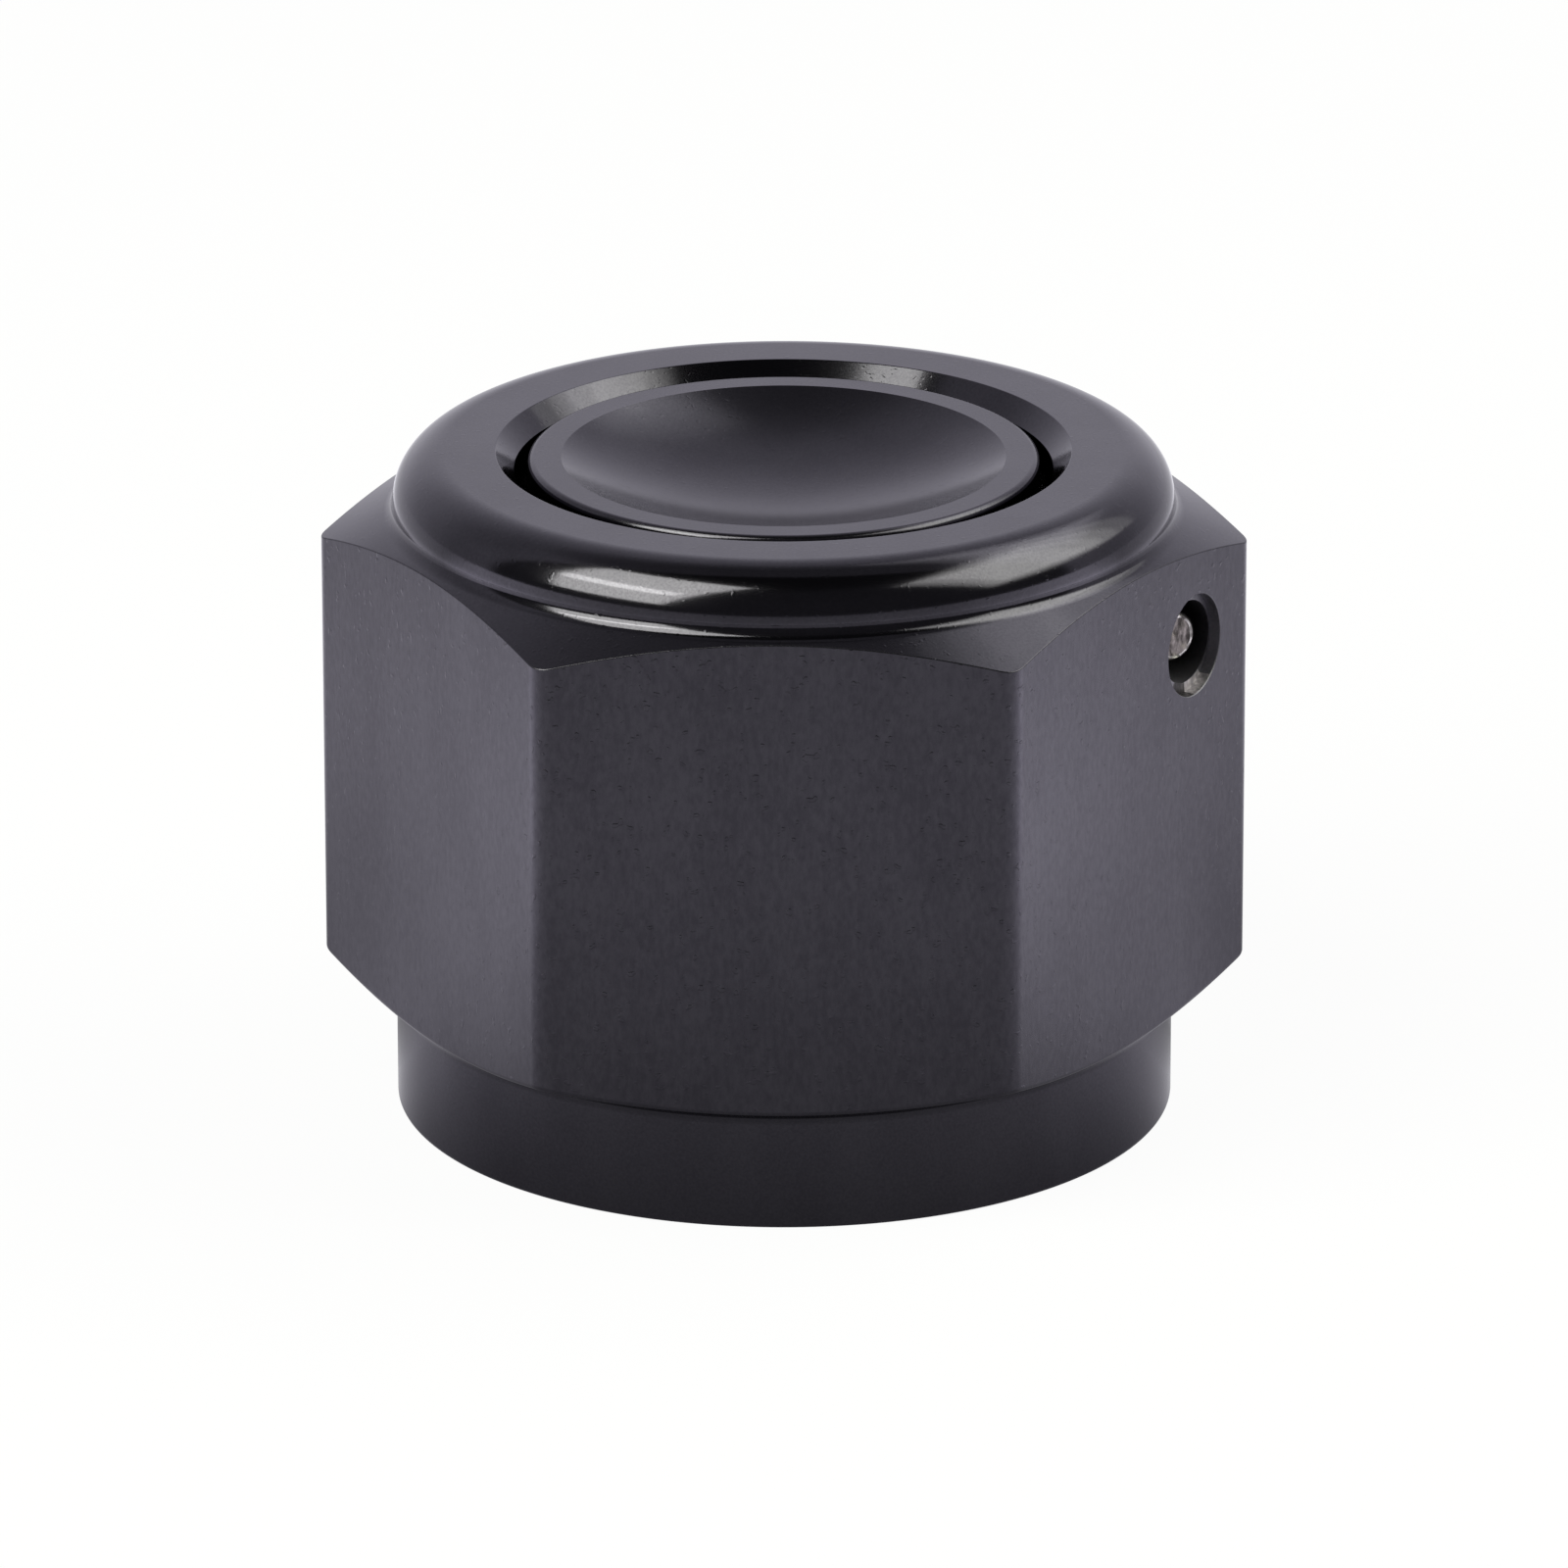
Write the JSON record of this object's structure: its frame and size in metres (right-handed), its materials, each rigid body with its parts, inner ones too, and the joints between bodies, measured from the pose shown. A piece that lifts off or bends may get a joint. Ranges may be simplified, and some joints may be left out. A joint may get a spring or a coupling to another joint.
{
  "type": "swivel flare plug",
  "caption": "Hexagon swivel nut holding a dished blanking insert by a retaining wire; its threaded mouth draws the conical seat onto a flared tube fitting to close it.",
  "frame": {"origin": "centre of the nut's bottom face, on the surface that it stands on", "axes": "+Z along the thread axis towards the dished end; hexagon corners on the X axis, so a wrench flat faces -Y"},
  "size_m": [0.0364, 0.0318, 0.0268],
  "materials": {
    "black_anodised": "satin black anodised",
    "steel_wire": "drawn wire with a sheared end"
  },
  "bodies": {
    "nut": {"swivel_nut": "black_anodised", "retaining_wire": "steel_wire"},
    "insert": {"plug_insert": "black_anodised"}
  },
  "joints": [
    {"name": "swivel", "type": "hinge", "parent": "nut", "child": "insert", "pos_m": [0, 0, 0.02], "axis": [0, 0, 1], "continuous": true}
  ]
}
